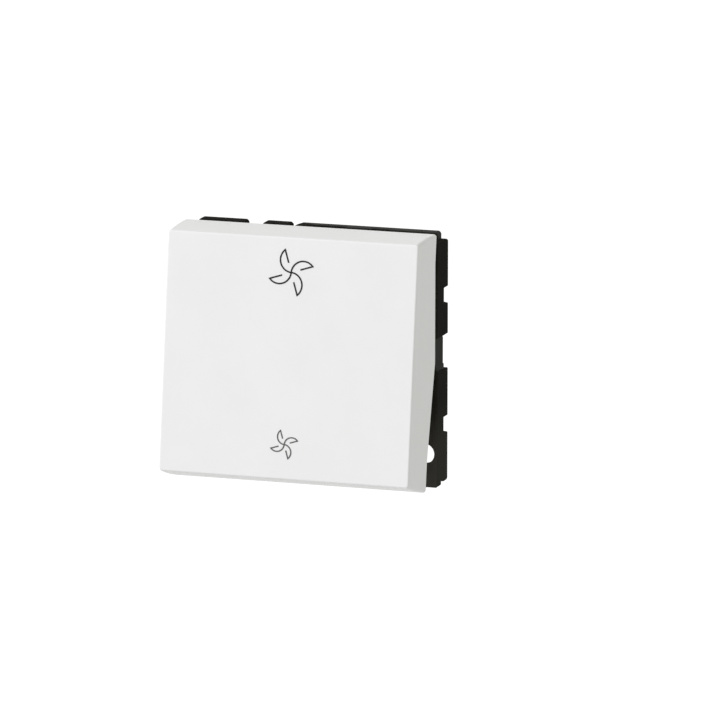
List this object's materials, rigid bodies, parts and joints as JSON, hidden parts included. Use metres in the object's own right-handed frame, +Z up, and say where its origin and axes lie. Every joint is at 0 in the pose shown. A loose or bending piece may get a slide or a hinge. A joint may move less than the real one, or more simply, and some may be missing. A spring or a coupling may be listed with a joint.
{
  "type": "ventilation control switch",
  "caption": "Square clip-in module for a two-speed fan: white rocker key with a large and a small fan mark on a dark battlemented frame, rear push-in terminals.",
  "frame": {"origin": "centre of the square module, on the plane where the side tabs seat on the wall support", "axes": "+X to the right seen from the front, +Z up, the key looks along -Y and the housing reaches back along +Y"},
  "size_m": [0.045, 0.0393, 0.0447],
  "materials": {
    "white_key": "fine satin moulding",
    "mark_ink": "pad-printed ink",
    "white_inner": "moulded",
    "plunger_plastic": "moulded, self-lubricating",
    "spring_steel": "bright rolled strip and drawn wire",
    "copper_strip": "rolled copper strip",
    "silver_contact": "silver-faced rivet",
    "brass_strip": "stamped strip",
    "dark_frame": "moulded, glass-filled",
    "dark_housing": "moulded, glass-filled",
    "button_plastic": "moulded"
  },
  "bodies": {
    "module": {"support_frame": "dark_frame", "rear_housing": "dark_housing", "rear_cover": "dark_housing", "fixed_contacts": "silver_contact", "common_terminal": "brass_strip", "low_speed_terminal": "brass_strip", "high_speed_terminal": "brass_strip", "common_clamp_spring": "spring_steel", "low_speed_clamp_spring": "spring_steel", "high_speed_clamp_spring": "spring_steel"},
    "key": {"rocker_key": "white_key", "high_speed_mark": "mark_ink", "low_speed_mark": "mark_ink", "tumbler": "white_inner", "plunger_spring": "spring_steel"},
    "plunger": {"plunger": "plunger_plastic"},
    "bridge": {"contact_bridge": "copper_strip", "moving_contacts": "silver_contact"},
    "common_button": {"common_release_button": "button_plastic"},
    "low_speed_button": {"low_speed_release_button": "button_plastic"},
    "high_speed_button": {"high_speed_release_button": "button_plastic"}
  },
  "joints": [
    {"name": "key_tilt", "type": "hinge", "parent": "module", "child": "key", "pos_m": [0, -0.0008, 0], "axis": [1, 0, 0], "range_deg": [0, 14.8]},
    {"name": "contact_tilt", "type": "hinge", "parent": "module", "child": "bridge", "pos_m": [0, 0.0086, 0], "axis": [1, 0, 0], "range_deg": [-12, 0]},
    {"name": "plunger_slide", "type": "slide", "parent": "key", "child": "plunger", "axis": [0, -0.9917, 0.1288], "range_m": [0, 0.0006], "stiffness_N_per_m": 400, "springref_m": -0.001, "deforming": ["plunger_spring"]},
    {"name": "common_release", "type": "slide", "parent": "module", "child": "common_button", "axis": [0, -1, 0], "range_m": [0, 0.001], "stiffness_N_per_m": 800, "springref_m": -0.0005, "deforming": ["common_clamp_spring"]},
    {"name": "low_speed_release", "type": "slide", "parent": "module", "child": "low_speed_button", "axis": [0, -1, 0], "range_m": [0, 0.001], "stiffness_N_per_m": 800, "springref_m": -0.0005, "deforming": ["low_speed_clamp_spring"]},
    {"name": "high_speed_release", "type": "slide", "parent": "module", "child": "high_speed_button", "axis": [0, -1, 0], "range_m": [0, 0.001], "stiffness_N_per_m": 800, "springref_m": -0.0005, "deforming": ["high_speed_clamp_spring"]}
  ],
  "couplings": [
    {"joint": "contact_tilt", "follows": "key_tilt", "ratio": -0.81081}
  ]
}
